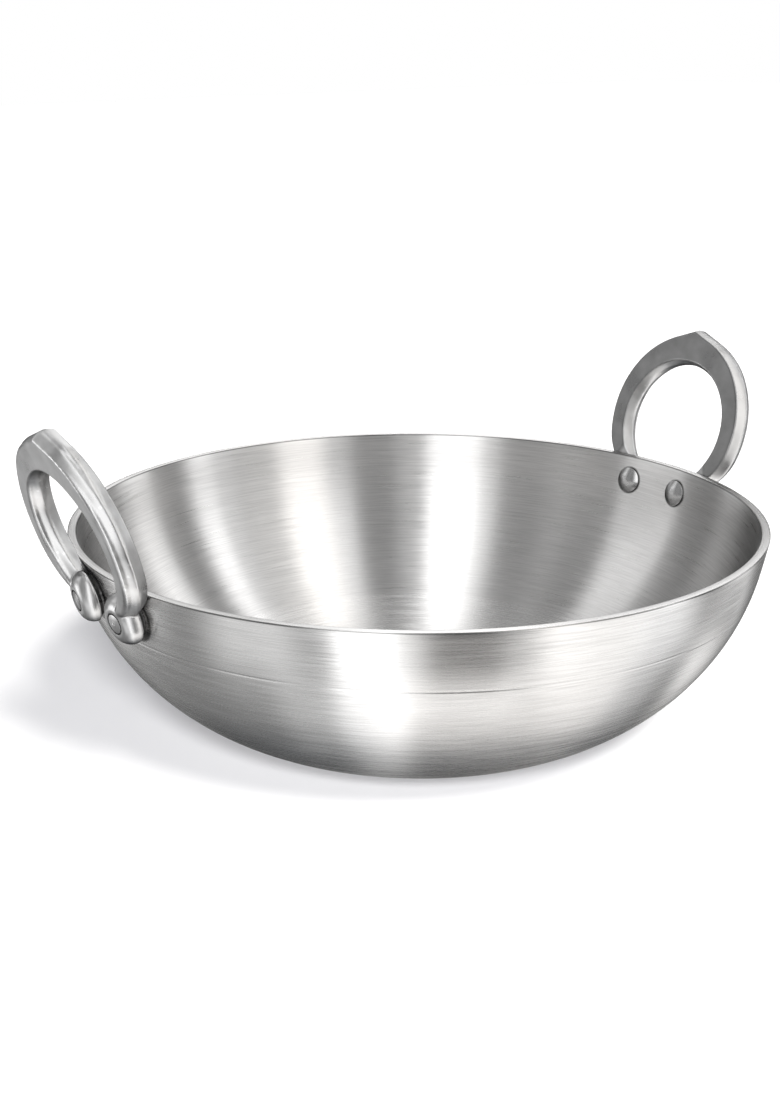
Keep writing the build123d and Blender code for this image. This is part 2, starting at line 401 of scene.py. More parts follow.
def makeCastMetal(name, colour, roughness):
    material, tree, shader = newMetal(name, colour, roughness, cast["edgeTint"])
    coords = objectCoords(tree)
    cloud = noiseNode(tree, coords, cast["cloud"], detail=3.0)
    grain = noiseNode(tree, coords, cast["grain"], detail=2.0)
    swell = noiseNode(tree, coords, cast["swell"], detail=1.0)
    low, high = cast["glossZone"]
    mottled = rangeNode(tree, cloud, 0, 1, *cast["mottleZone"])
    tone = mixTones(tree, colour, cast["mottle"], mottled)
    # painted shade in creases and painted highlight on ridges, from how sharply the surface bends
    form = tree.nodes.new("ShaderNodeNewGeometry").outputs["Pointiness"]
    wearAndCreaseShade = rangeNode(tree, form, cast["crease"], 1, *cast["creaseZone"])
    ridgeHighlight = rangeNode(tree, form, 1, cast["ridge"], *cast["ridgeZone"])
    height = addShares(tree, cloud, grain, cast["grainShare"])
    swollen = bumpNode(tree, swell, strength=1.0, depth=cast["swellDepth"])
    for key, value in (
        ("Base Color", scaleNode(tree, tone, mathNode(tree, "MULTIPLY", wearAndCreaseShade, ridgeHighlight))),
        ("Roughness", rangeNode(tree, cloud, roughness + low, roughness + high)),
        ("Normal", bumpNode(tree, height, cast["bump"], cast["bumpDepth"], swollen)),
    ):
        tree.links.new(value, shader.inputs[key])
    return material


bowlMetal = makeBrushedMetal("brushedBowlSteel")
handleMetal = makeCastMetal("castHandleSteel", cast["colour"], cast["roughness"])
rivetMetal = makeCastMetal("turnedRivetSteel", cast["rivetColour"], cast["rivetRoughness"])
spinTree, spinKeys = buildSpinTree()
seatTree, seatKeys = buildSeatTree()
print("metals and trees built")


bowl = {
    "rimRadius": 0.140,
    "height": 0.0825,
    "baseRadius": 0.070,
    "wall": 0.0035,
    "bandHeight": 0.0115,
    "bandFlare": 12.3,
    "kneeRadius": 0.0123,
    "rimRound": 0.0005,
    "lineDrop": 0.023,
    "lineWidth": 0.0012,
    "lineDepth": 0.00009,
    "kneeTop": 0.0145,  # the inner skin is told from the outer one by its radius above this height
    "floorSpread": 0.004,  # and below it by its height, this far past the flat base
    "turns": 288,
    "fit": 0.9999,  # keeps the spun skin inside the CAD's own facets
}
flare = math.radians(bowl["bandFlare"])
bandInward = Vector((-math.cos(flare), math.sin(flare)))
bandFoot = Vector((
    bowl["rimRadius"] - bowl["bandHeight"] * math.tan(flare),
    bowl["height"] - bowl["bandHeight"]))
kneeCentre = Vector((bowl["baseRadius"], bowl["kneeRadius"]))
span = bandFoot - kneeCentre
sideRadius = (
    (bowl["kneeRadius"] ** 2 - span.length_squared)
    / (2 * (bandInward.dot(span) + bowl["kneeRadius"])))
sideCentre = bandFoot + bandInward * sideRadius
kneeTurn = (kneeCentre - sideCentre).normalized()
kneeAngle = math.degrees(math.atan2(kneeTurn.y, kneeTurn.x))


def skinAt(drop):
    # point on the outer skin this far below the rim, and the outward direction there
    if drop <= bowl["bandHeight"]:
        return Vector((bowl["rimRadius"] - drop * math.tan(flare), bowl["height"] - drop)), -bandInward
    rise = bowl["height"] - drop - sideCentre.y
    outward = Vector((math.sqrt(sideRadius ** 2 - rise ** 2), rise)) / sideRadius
    return sideCentre + outward * sideRadius, outward


def skinRun(depth, kneeSteps, sideSteps):
    # one skin from the base up to just under the rim
    knee = arcPoints(kneeCentre, bowl["kneeRadius"] - depth, -90, kneeAngle, kneeSteps)
    side = arcPoints(sideCentre, sideRadius - depth, kneeAngle, -bowl["bandFlare"], sideSteps)
    bandTop = Vector((bowl["rimRadius"] - depth / math.cos(flare), bowl["height"]))
    return knee, side, bandTop


def bowlSection():
    knee, side, bandTop = skinRun(0, kneeSteps=12, sideSteps=44)
    _, outward = skinAt(bowl["lineDrop"])
    # the turned line is a shallow round groove cut into the side, with points of its own
    perHalf, reach, fade = 5, 8, 6  # steps on half its width, on each side, and until it is out
    grooved = []
    lineAngle = math.atan2(outward.y, outward.x)
    halfTurn = bowl["lineWidth"] / 2 / sideRadius
    for p in side:
        offset = math.atan2((p - sideCentre).y, (p - sideCentre).x) - lineAngle
        if abs(offset) > halfTurn * reach / perHalf:
            grooved.append((offset, p))
    for i in range(-reach, reach + 1):
        offset = halfTurn * i / perHalf
        a = lineAngle + offset
        depth = bowl["lineDepth"] * 0.5 * (1 + math.cos(math.pi * min(1, abs(i) / fade)))
        grooved.append((offset, sideCentre + Vector((math.cos(a), math.sin(a))) * (sideRadius - depth)))
    side = [p for _, p in sorted(grooved, key=lambda item: item[0])]
    innerKnee, innerSide, innerTop = skinRun(bowl["wall"], kneeSteps=10, sideSteps=40)
    r = bowl["rimRound"]
    lean = bowl["bandFlare"]
    outerCorner = Vector((bandTop.x - r / math.cos(flare) - r * math.tan(flare), bowl["height"] - r))
    innerCorner = Vector((innerTop.x + r / math.cos(flare) - r * math.tan(flare), bowl["height"] - r))
    rim = joinRuns(
        arcPoints(outerCorner, r, -lean, 90, steps=6),
        arcPoints(innerCorner, r, 90, 180 - lean, steps=6))
    innerUp = joinRuns(innerKnee, innerSide)
    return joinRuns(
        linePoints((0, 0), (bowl["baseRadius"], 0), steps=8),
        knee, side,
        linePoints(side[-1], rim[0], steps=5),
        rim,
        linePoints(rim[-1], innerUp[-1], steps=5),
        innerUp[::-1],
        linePoints((bowl["baseRadius"], bowl["wall"]), (0, bowl["wall"]), steps=10))


def markInside(mesh):
    # 1 on the inner skin, where the brushing is coarser, and 0 outside
    inside = mesh.attributes.new("inside", "FLOAT", "POINT")
    half = bowl["wall"] / 2
    for vertex in mesh.vertices:
        x, y, z = vertex.co
        if z > bowl["kneeTop"]:
            outer, _ = skinAt(bowl["height"] - z)
            held = math.hypot(x, y) < outer.x - half
        else:
            held = z > half and math.hypot(x, y) < bowl["baseRadius"] + bowl["floorSpread"]
        inside.data[vertex.index].value = float(held)


bowlPiece = spinSection("bowlShell", bowlSection(), bowl["turns"], bowlMetal)
bowlPiece.data.transform(Matrix.Diagonal((bowl["fit"], bowl["fit"], 1, 1)))
markInside(bowlPiece.data)
print("bowl spun:", len(bowlPiece.data.polygons), "faces")


handle = {
    "halfWidth": 0.0384,
    "widestRise": 0.0194,
    "shoulderShift": 0.0026,
    "legShift": 0.0064,
    "holeRadius": 0.0264,
    "holeRise": 0.0180,
    "thickness": 0.0092,
    "draftInset": 0.0020,
    "backRound": 0.0006,
    "ridgeRound": 0.0002,
    "crownRidge": 0.0010,
    "crownEdge": 0.0007,  # rounding of the front face's edge at the crown
    "legEdge": 0.0017,  # and down the legs
    "lean": 17.8,
    "faceOffset": -0.0020,
    "crownAngle": 139.0,
    "crownRound": 0.0034,
    "heelAngle": 14.0,  # under the widest point, where the leg turns in towards its foot
    "heelRadius": 0.0260,
    "heelEnd": -84.0,
    "legGap": 0.0006,
    "coneReach": 0.03,  # half height of the cone that clears the lip
    "crownZone": (0.036, 0.056),  # rise over which the legs' edges pass into the crown's
    "voxel": 0.00042,
    "soften": 3,
}
foot = {
    "spacing": 0.0294,
    "drop": 0.0112,
    "radius": 0.0100,
    "backInset": 0.0008,
    "backChamfer": 0.0011,
    "seatLift": 0.0004,
    "faceRadius": 0.0054,
    "proud": 0.0008,
    "pocketRadius": 0.0043,
    "pocketDepth": 0.0011,
    "pocketOver": 0.002,  # the pocket's cutter stands this far out of the face
    "sink": 0.0005,  # the seat reaches this far into the wall
}


def seatFrame(hand):
    # matrix of one rivet seat at the +X handle: local Z runs outwards along the rivet
    point, slope = skinAt(foot["drop"])
    swing = math.asin(foot["spacing"] / 2 / point.x) * hand
    outward = Vector((slope.x * math.cos(swing), slope.x * math.sin(swing), slope.y))
    along = Vector((-math.sin(swing), math.cos(swing), 0))
    up = outward.cross(along)
    place = Vector((point.x * math.cos(swing), point.x * math.sin(swing), point.y))
    return Matrix.Translation(place) @ Matrix((along, up, outward)).transposed().to_4x4()


lean = math.radians(handle["lean"])
loopOut = Vector((math.cos(lean), 0, -math.sin(lean)))
loopUp = Vector((math.sin(lean), 0, math.cos(lean)))
halfThick = handle["thickness"] / 2
loopMiddle = Vector((bowl["rimRadius"], 0, bowl["height"])) + loopOut * (handle["faceOffset"] + halfThick)
seatRight = seatFrame(1)
seatOut = seatRight.to_3x3() @ Vector((0, 0, 1))
footParting = (loopMiddle - seatRight.translation).dot(loopOut) / seatOut.dot(loopOut)
footHeight = footParting + halfThick + foot["proud"]


def placeOnLoop(across, rise, height):
    return loopMiddle + Vector((0, 1, 0)) * across + loopUp * rise + loopOut * height


def halfOutline(inset):
    # right half of the loop's outline from the foot up to the crown, drawn in by the inset
    flank = math.radians(handle["crownAngle"] / 2)
    shoulder = handle["halfWidth"] + handle["shoulderShift"]
    legRadius = handle["halfWidth"] + handle["legShift"]
    turnIn = math.radians(handle["heelAngle"])
    legCentre = Vector((-handle["legShift"], handle["widestRise"]))
    heelRadius = handle["heelRadius"]
    heelCentre = legCentre + Vector((math.cos(turnIn), -math.sin(turnIn))) * (legRadius - heelRadius)
    heel = arcPoints(heelCentre, heelRadius - inset, handle["heelEnd"], -handle["heelAngle"], steps=30)
    legs = arcPoints(legCentre, legRadius - inset, -handle["heelAngle"], 0, steps=14)
    armCentre = (-handle["shoulderShift"], handle["widestRise"])
    arms = arcPoints(armCentre, shoulder - inset, 0, math.degrees(flank), steps=40)
    tipRadius = handle["crownRound"]
    crownRise = (shoulder - tipRadius - handle["shoulderShift"] * math.cos(flank)) / math.sin(flank)
    tipCentre = (0, handle["widestRise"] + crownRise)
    tip = arcPoints(tipCentre, tipRadius - inset, math.degrees(flank), 90, steps=7)
    straight = linePoints(arms[-1], tip[0], steps=10)
    return heel + legs[1:] + arms[1:] + straight[1:] + tip[1:]


def bandSteps(frontRound, ridgeRound):
    # heights and insets of a drafted band, from the back face over the parting ridge to the front face
    draft, roundSteps = handle["draftInset"], 4
    sides = []
    for r in (handle["backRound"], frontRound):
        steps = []
        for i in range(roundSteps + 1):
            a = math.radians(90 * i / roundSteps)
            steps.append((halfThick - r * (1 - math.cos(a)), draft + r * (1 - math.sin(a))))
        for share in (0.85, 0.7, 0.5, 0.3, 0.2, 0.1):  # closer together towards the ridge
            steps.append(((halfThick - r) * share, draft * share + ridgeRound * (1 - share) ** 4))
        sides.append(steps)
    back, front = sides
    return [(-height, inset) for height, inset in back] + [(0, ridgeRound)] + front[::-1]


def smoothShare(value, low, high):
    t = min(1, max(0, (value - low) / (high - low)))
    return t * t * (3 - 2 * t)


def makeLoop(name):
    # the outline moves in a straight line as it is drawn in, so two outlines give every inset
    trial = 0.001
    outer, inner = halfOutline(0), halfOutline(trial)
    outer = outer + [Vector((-p.x, p.y)) for p in outer[-2::-1]]
    inner = inner + [Vector((-p.x, p.y)) for p in inner[-2::-1]]
    centre = Vector((0, handle["holeRise"]))
    rings = []
    faceSteps = 6
    for p, drawn in zip(outer, inner):
        ray = (p - centre).normalized()
        crown = smoothShare(p.y, *handle["crownZone"])
        steps = bandSteps(
            handle["legEdge"] + (handle["crownEdge"] - handle["legEdge"]) * crown,
            handle["ridgeRound"] + (handle["crownRidge"] - handle["ridgeRound"]) * crown)
        ring = [(p + (drawn - p) * (inset / trial), height) for height, inset in steps]
        hole = [(centre + ray * (handle["holeRadius"] + inset), height) for height, inset in steps][::-1]
        faces = []
        for (start, height), (end, _) in ((ring[-1], hole[0]), (hole[-1], ring[0])):
            faces.append([(start.lerp(end, k / faceSteps), height) for k in range(1, faceSteps)])
        front, back = faces
        rings.append([placeOnLoop(q.x, q.y, height) for q, height in ring + front + hole + back])
    bm = bmesh.new()
    made = [[bm.verts.new(p) for p in ring] for ring in rings]
    size = len(made[0])
    for a, b in zip(made[:-1], made[1:]):
        for k in range(size):
            bm.faces.new((a[k], a[(k + 1) % size], b[(k + 1) % size], b[k]))
    bm.faces.new(made[0])
    bm.faces.new(made[-1][::-1])
    bmesh.ops.recalc_face_normals(bm, faces=bm.faces)
    mesh = bpy.data.meshes.new(name)
    bm.to_mesh(mesh)
    bm.free()
    return newObject(name, mesh)


def footSection():
    back = foot["radius"] - foot["backInset"]
    seat = back - foot["backChamfer"]
    backEdge = Vector((back, foot["seatLift"] + foot["backChamfer"]))
    start = Vector((foot["radius"], footParting))
    end = Vector((foot["faceRadius"], footHeight))
    # shoulder: an arc that leaves the parting line upright and ends on the flat face
    dx, dy = start.x - end.x, end.y - start.y
    r = (dx * dx + dy * dy) / (2 * dx)
    shoulder = arcPoints((start.x - r, start.y), r, 0, math.degrees(math.asin(dy / r)), steps=14)
    return joinRuns(
        [Vector((0, -foot["sink"])), Vector((seat, -foot["sink"])), Vector((seat, foot["seatLift"]))],
        linePoints((seat, foot["seatLift"]), backEdge, steps=3),
        linePoints(backEdge, start, steps=3),
        shoulder,
        [Vector((0, footHeight))])


def makeDrum(name, radius, low, high):
    corners = [Vector((0, low)), Vector((radius, low)), Vector((radius, high)), Vector((0, high))]
    return spinSection(name, corners, turns=72, material=handleMetal)


def combine(loop, operation, tool, place):
    # cuts the placed tool from the loop or joins it on, and takes the tool away
    tool.data.transform(place)
    applyModifier(loop, "BOOLEAN", operation=operation, object=tool, solver="EXACT")
    bpy.data.objects.remove(tool)


def makeHandle(name, side):
    loop = makeLoop(name)
    # a cone keeps the legs clear of the lip
    gap = handle["legGap"] / math.cos(flare)
    reach = handle["coneReach"]
    spread = reach * math.tan(flare)
    cone = [
        Vector((0, bowl["height"] - reach)),
        Vector((bowl["rimRadius"] + gap - spread, bowl["height"] - reach)),
        Vector((bowl["rimRadius"] + gap + spread, bowl["height"] + reach)),
        Vector((0, bowl["height"] + reach)),
    ]
    clear = spinSection("legClearance", cone, turns=360, material=handleMetal)
    combine(loop, "DIFFERENCE", clear, Matrix())
    for hand in (1, -1):
        pad = spinSection("footPad", footSection(), turns=72, material=handleMetal)
        combine(loop, "UNION", pad, seatFrame(hand))
    applyModifier(loop, "REMESH", mode="VOXEL", voxel_size=handle["voxel"], use_smooth_shade=True)
    applyModifier(loop, "SMOOTH", factor=0.5, iterations=handle["soften"])
    low, high = footHeight - foot["pocketDepth"], footHeight + foot["pocketOver"]
    for hand in (1, -1):
        pocket = makeDrum("footPocket", foot["pocketRadius"], low, high)
        combine(loop, "DIFFERENCE", pocket, seatFrame(hand))
    if side < 0:
        loop.data.transform(Matrix.Rotation(math.pi, 4, "Z"))
    loop.data.materials.clear()
    loop.data.materials.append(handleMetal)
    for polygon in loop.data.polygons:
        polygon.material_index = 0
    sharpenEdges(loop.data, degrees=40)
    return loop


handlePieces = {}
for side, sideName in ((1, "right"), (-1, "left")):
    handlePieces[sideName] = makeHandle(sideName + "CastHandle", side)
    print(sideName, "handle cast:", len(handlePieces[sideName].data.polygons), "faces")


rivet = {
    "shankRadius": 0.0032,
    "headRadius": 0.0056,
    "headHeight": 0.0028,
    "headEdge": 0.0009,
    "endRadius": 0.0036,
    "endHeight": 0.0015,
    "endCrown": 0.0004,
    "pitRadius": 0.0008,
    "pitDepth": 0.0004,
    "pitTurn": (0.8, 0.5),  # shares of its radius and depth where the pit's wall bends in
    "headBulge": 0.00005,
    "bulgeLifts": (0.0002, 0.0005),  # the head's edge swells at one height, and is straight from the other
}


def rivetSection():
    wall = bowl["wall"]
    top = -wall - rivet["headHeight"]
    edge = -wall - rivet["headEdge"]
    rise = rivet["headHeight"] - rivet["headEdge"]
    r = (rivet["headRadius"] ** 2 + rise ** 2) / (2 * rise)
    sweep = math.degrees(math.asin(rivet["headRadius"] / r))
    dome = arcPoints((0, top + r), r, -90, -90 + sweep, steps=12)
    floor = footHeight - foot["pocketDepth"]
    crown = floor + rivet["endHeight"]
    cr = (rivet["endRadius"] ** 2 + rivet["endCrown"] ** 2) / (2 * rivet["endCrown"])
    endSweep = math.degrees(math.asin(rivet["endRadius"] / cr))
    end = arcPoints((0, crown - cr), cr, 90 - endSweep, 90, steps=10)
    acrossPit, downPit = rivet["pitTurn"]
    bulgeLift, straightLift = rivet["bulgeLifts"]
    chain = [
        (rivet["headRadius"] + rivet["headBulge"], edge + bulgeLift),
        (rivet["headRadius"], edge + straightLift),
        (rivet["headRadius"], -wall / 2),
        (rivet["shankRadius"], -wall / 2),
        (rivet["shankRadius"], floor),
        (rivet["endRadius"], floor),
    ]
    pit = [
        (rivet["pitRadius"], crown),
        (rivet["pitRadius"] * acrossPit, crown - rivet["pitDepth"] * downPit),
        (0, crown - rivet["pitDepth"]),
    ]
    return joinRuns(
        dome,
        [Vector(p) for p in chain],
        [p for p in end if p.x > rivet["pitRadius"]],
        [Vector(p) for p in pit])


def makeRivets(name):
    # all the rivets are one turned shape, set on the seats by the tree
    shape = spinSection("rivetShape", rivetSection(), turns=64, material=rivetMetal)
    sharpenEdges(shape.data, degrees=35)
    mesh = bpy.data.meshes.new("rivetSeats")
    places, turns = [], []
    for side in (1, -1):
        for hand in (1, -1):
            seat = (Matrix.Rotation(math.pi, 4, "Z") if side < 0 else Matrix()) @ seatFrame(hand)
            places.append(seat.translation)
            turns.append(seat.to_euler("XYZ"))
    mesh.from_pydata(places, [], [])
    turn = mesh.attributes.new("turn", "FLOAT_VECTOR", "POINT")
    for i, euler in enumerate(turns):
        turn.data[i].vector = euler
    obj = newObject("rivetSeats", mesh)
    modifier = obj.modifiers.new("seat", "NODES")
    modifier.node_group = seatTree
    modifier[seatKeys["rivet"]] = shape
    modifier[seatKeys["metal"]] = rivetMetal
    baked = bakeModifiers(obj, name)
    bpy.data.objects.remove(shape)
    return baked


rivetPieces = makeRivets("handleRivets")
print("rivets set:", len(rivetPieces.data.polygons), "faces")


# painted shade: darker round the rivet heads and the feet where they meet the bowl, and thin painted dark
# lines on the rim's edges
paintedContactShade = {
    "depth": 0.24,
    "rimLine": 0.35,  # painted dark lines along the rim's two edges too
    "lineZone": (0.00056, 0.00024),  # inwards from the edge, where the line starts and is full
    "headStart": 0.0058,
    "headEnd": 0.0065,
    "footStart": 0.0103,
    "footEnd": 0.0111,
}


def paintContactShade(material):
    # painted shade round each rivet head inside and round each foot outside, where they meet the wall, and
    # painted dark lines along the rim's edges
    tree = material.node_tree
    coords = objectCoords(tree)
    away = vectorNode(tree, "SUBTRACT", vectorNode(tree, "ABSOLUTE", coords), seatRight.translation)
    reach = vectorNode(tree, "LENGTH", vectorNode(tree, "CROSS_PRODUCT", away, seatOut))
    inside = insideShare(tree)
    head = rangeNode(tree, reach, paintedContactShade["depth"], 1, paintedContactShade["headStart"], paintedContactShade["headEnd"])
    pad = rangeNode(tree, reach, paintedContactShade["depth"], 1, paintedContactShade["footStart"], paintedContactShade["footEnd"])
    amount = mathNode(
        tree, "ADD",
        mathNode(tree, "MULTIPLY", head, inside),
        mathNode(tree, "MULTIPLY", pad, mathNode(tree, "SUBTRACT", 1.0, inside)))
    x, y, z = splitNode(tree, coords)
    middle = bowl["rimRadius"] - bowl["wall"] / math.cos(flare) / 2
    half = bowl["rimRadius"] - middle
    aside = mathNode(tree, "ABSOLUTE", mathNode(tree, "SUBTRACT", axisDistance(tree, x, y), middle))
    start, end = paintedContactShade["lineZone"]
    edge = mathNode(
        tree, "MULTIPLY",
        rangeNode(tree, aside, 0, 1, half - start, half - end),
        rangeNode(tree, z, 0, 1, bowl["height"] - start, bowl["height"] - end))
    rim = rangeNode(tree, edge, 1, paintedContactShade["rimLine"], 0, 1)
    shadeColour(material, mathNode(tree, "MULTIPLY", amount, rim))


def paintBackShade(material):
    # painted shade on the handles' faces towards the bowl
    tree = material.node_tree
    away = vectorNode(tree, "SUBTRACT", vectorNode(tree, "ABSOLUTE", objectCoords(tree)), loopMiddle)
    height = vectorNode(tree, "DOT_PRODUCT", away, loopOut)
    low, high = (depth - halfThick for depth in cast["backZone"])
    shadeColour(material, rangeNode(tree, height, cast["backShade"], 1, low, high))


paintContactShade(bowlMetal)
paintBackShade(handleMetal)


# ties to the frame
for piece, nodes, slot in (
    (bowlPiece, ["bowl"], "bowl_metal"),
    (handlePieces["right"], ["right_handle"], "handle_metal"),
    (handlePieces["left"], ["left_handle"], "handle_metal"),
    (rivetPieces, [
        "right_back_rivet", "right_front_rivet", "left_back_rivet", "left_front_rivet",
    ], "rivet_metal"),
):
    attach(piece, "root")
    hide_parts(*nodes)
print("pieces ride on the root body")


stage = {
    "size": 12.0,
    "floorColour": 0.60,
    "floorRoughness": 0.9,
    "shade": (0.94, 0.94, 1.0),  # tint of the paper where the kadai's shadow falls
    "glow": 0.25,
}

# Light of the studio. Each strip is a tall panel or card that a surface shows to a viewer on the stage's
# open side: "turn" is the heading of that surface in degrees from the open side, "low" and "high" its tilt.
studio = {
    "open": -126.8,
    "rise": 0.324,  # sine of the viewer's height
    "base": 0.40,
    "strips": [
        {"turn": 79, "half": 3.2, "soft": 2.0, "level": 1.80},
        {"turn": 74, "half": 2.5, "soft": 3.0, "level": 0.20},
        {"turn": 65.3, "half": 2.7, "soft": 2.5, "level": 1.20},
        {"turn": 60.5, "half": 3.0, "soft": 3.0, "level": 1.35},
        {"turn": 51, "half": 2.0, "soft": 2.0, "level": -0.22},
        {"turn": 44.2, "half": 2.7, "soft": 2.0, "level": 1.70},
        {"turn": 39.5, "half": 3.4, "soft": 3.0, "level": 0.62},
        {"turn": 31.5, "half": 4.0, "soft": 4.0, "level": 0.50, "colour": (1.0, 0.985, 0.96)},
        {"turn": 22.3, "half": 4.6, "soft": 4.0, "level": 1.65, "colour": (1.0, 0.975, 0.945)},
        {"turn": 15, "half": 2.6, "soft": 3.0, "level": 0.40},
        {"turn": 15, "half": 3.2, "soft": 3.0, "level": 0.60, "low": 24},
        {"turn": 7.5, "half": 4.0, "soft": 3.0, "level": -0.08},
        {"turn": 8, "half": 6.0, "soft": 4.0, "level": -0.30, "high": 9},
        {"turn": 1, "half": 2.4, "soft": 2.5, "level": 0.24},
        {"turn": -7.5, "half": 5.2, "soft": 2.0, "level": 1.90},
        {"turn": -14.6, "half": 2.0, "soft": 2.0, "level": 0.75},
        {"turn": -22, "half": 3.5, "soft": 3.0, "level": -0.06},
        {"turn": -29.5, "half": 2.5, "soft": 4.0, "level": 0.10},
        {"turn": -38, "half": 4.5, "soft": 4.0, "level": -0.05},
        {"turn": -44.5, "half": 2.2, "soft": 3.0, "level": 0.78},
        {"turn": -51.5, "half": 5.2, "soft": 4.0, "level": 1.30, "high": 36},
        {"turn": -51.0, "half": 5.0, "soft": 4.0, "level": 0.65, "low": 36},
        {"turn": -51.0, "half": 6.5, "soft": 3.0, "level": 1.00, "high": 16},
        {"turn": -50.0, "half": 5.0, "soft": 3.0, "level": -1.00, "low": 17, "high": 31},
        {"turn": -66, "half": 3.5, "soft": 4.0, "level": -0.08},
        {"turn": -75.5, "half": 5.5, "soft": 5.0, "level": 0.80},
        {"turn": -132, "half": 46.0, "soft": 8.0, "level": -0.21},
        {"turn": 133, "half": 48.0, "soft": 6.0, "level": -0.34},
        {"turn": 0, "half": 181.0, "soft": 1.0, "level": 2.20, "low": 81},
        {"turn": -90, "half": 32.0, "soft": 8.0, "level": 1.00, "low": 67, "high": 81},
        {"turn": 90, "half": 32.0, "soft": 8.0, "level": 1.05, "low": 67, "high": 81},
    ],
    "lipBase": 0.36,
    "lipStrips": [
        {"turn": -2.5, "half": 3.6, "soft": 3.0, "level": 0.55},
        {"turn": -8, "half": 4.6, "soft": 2.0, "level": 1.90},
        {"turn": 8.5, "half": 6.5, "soft": 3.0, "level": -0.36},
        {"turn": 29.5, "half": 9.5, "soft": 6.0, "level": 1.22, "colour": (1.0, 0.985, 0.965)},
        {"turn": 44.5, "half": 6.5, "soft": 5.0, "level": 1.00},
        {"turn": 60, "half": 9.0, "soft": 6.0, "level": 0.22},
        {"turn": 74, "half": 8.0, "soft": 4.0, "level": 0.85},
        {"turn": -26, "half": 7.0, "soft": 8.0, "level": 0.95},
        {"turn": -34, "half": 3.0, "soft": 5.0, "level": 0.20},
        {"turn": -68, "half": 10.0, "soft": 6.0, "level": 1.35},
    ],
    "floorBase": 0.36,
    "floorStrips": [
        {"turn": -7, "half": 6.0, "soft": 5.0, "level": 1.10},
        {"turn": 15, "half": 21.0, "soft": 12.0, "level": 1.15, "colour": (1.0, 0.975, 0.95)},
        {"turn": 40, "half": 6.0, "soft": 6.0, "level": 0.40},
        {"turn": 62, "half": 8.0, "soft": 8.0, "level": 1.15, "colour": (1.0, 0.985, 0.965)},
        {"turn": 77, "half": 5.0, "soft": 5.0, "level": 0.80},
        {"turn": 8.5, "half": 5.5, "soft": 3.0, "level": -1.45, "low": -18.5},
        {"turn": 8.5, "half": 8.0, "soft": 6.0, "level": 0.64, "low": -27, "high": -20},
        {"turn": 12, "half": 13.0, "soft": 8.0, "level": -0.36, "low": -34.5, "high": -28},
        {"turn": 61, "half": 8.0, "soft": 8.0, "level": 0.90, "low": -28},
        {"turn": -18, "half": 6.0, "soft": 8.0, "level": 0.42},
        {"turn": -66, "half": 12.0, "soft": 8.0, "level": 0.16},
    ],
    "shadeBase": 0.11,
    "shadeStrips": [
        {"turn": 0, "half": 181.0, "soft": 1.0, "level": 0.02, "colour": (0.55, 0.95, 1.50)},
        {"turn": -6, "half": 5.0, "soft": 6.0, "level": 0.40},
        {"turn": -66, "half": 14.0, "soft": 10.0, "level": 0.09},
        {"turn": 60, "half": 10.0, "soft": 12.0, "level": 0.03},
    ],
    # tilts over which the strips above pass into each lower set
    "lipZone": (-7, -1),
    "floorZone": (-19, -13),
    "shadeZone": (-42, -31),
    "underZone": (-58, -46),
    "under": 0.09,
    "behind": 0.06,  # what surfaces seen edge-on show
    "behindZone": (0.80, 0.94),  # from the cosine between a reflection and the viewer's line
    "edgeSoft": 1.5,  # half width of the strips' lower and upper edges
    "least": 0.03,  # no direction is darker
    "paperShare": 0.12,  # how much of the room's light reaches the paper; the suns do the rest
}


def makeFloor():
    mesh = bpy.data.meshes.new("studioFloor")
    s = stage["size"] / 2
    mesh.from_pydata([(-s, -s, 0), (s, -s, 0), (s, s, 0), (-s, s, 0)], [], [(0, 1, 2, 3)])
    floor = newObject("studioFloor", mesh)
    material = bpy.data.materials.new("paperFloor")
    material.use_nodes = True
    tree = material.node_tree
    inputs = tree.nodes["Principled BSDF"].inputs
    inputs["Base Color"].default_value = (stage["floorColour"],) * 3 + (1,)
    inputs["Roughness"].default_value = stage["floorRoughness"]
    inputs["Specular IOR Level"].default_value = 0.0
    inputs["Emission Color"].default_value = (*stage["shade"], 1)
    seen = tree.nodes.new("ShaderNodeLightPath").outputs["Is Camera Ray"]
    tree.links.new(mathNode(tree, "MULTIPLY", seen, stage["glow"]), inputs["Emission Strength"])
    mesh.materials.append(material)
    floor.visible_glossy = False


def stripLight(tree, turn, tilt, strip):
    # brightness of one panel with soft edges
    away = mathNode(tree, "ABSOLUTE", mathNode(tree, "SUBTRACT", turn, strip["turn"]))
    half, soft = strip["half"], strip["soft"] / 2
    share = rangeNode(tree, away, 1, 0, half - soft, half + soft, "SMOOTHSTEP")
    for key, below, above in (("low", 0, 1), ("high", 1, 0)):
        if key in strip:
            start, end = strip[key] - studio["edgeSoft"], strip[key] + studio["edgeSoft"]
            share = mathNode(tree, "MULTIPLY", share, rangeNode(tree, tilt, below, above, start, end))
    tint = strip.get("colour", (1, 1, 1))
    return scaleNode(tree, [c * strip["level"] for c in tint], share)


def sumLights(tree, base, turn, tilt, strips):
    total = addNode(tree, "ShaderNodeCombineXYZ", {0: base, 1: base, 2: base}).outputs[0]
    for strip in strips:
        total = vectorNode(tree, "ADD", total, stripLight(tree, turn, tilt, strip))
    return vectorNode(tree, "MAXIMUM", total, (studio["least"],) * 3)


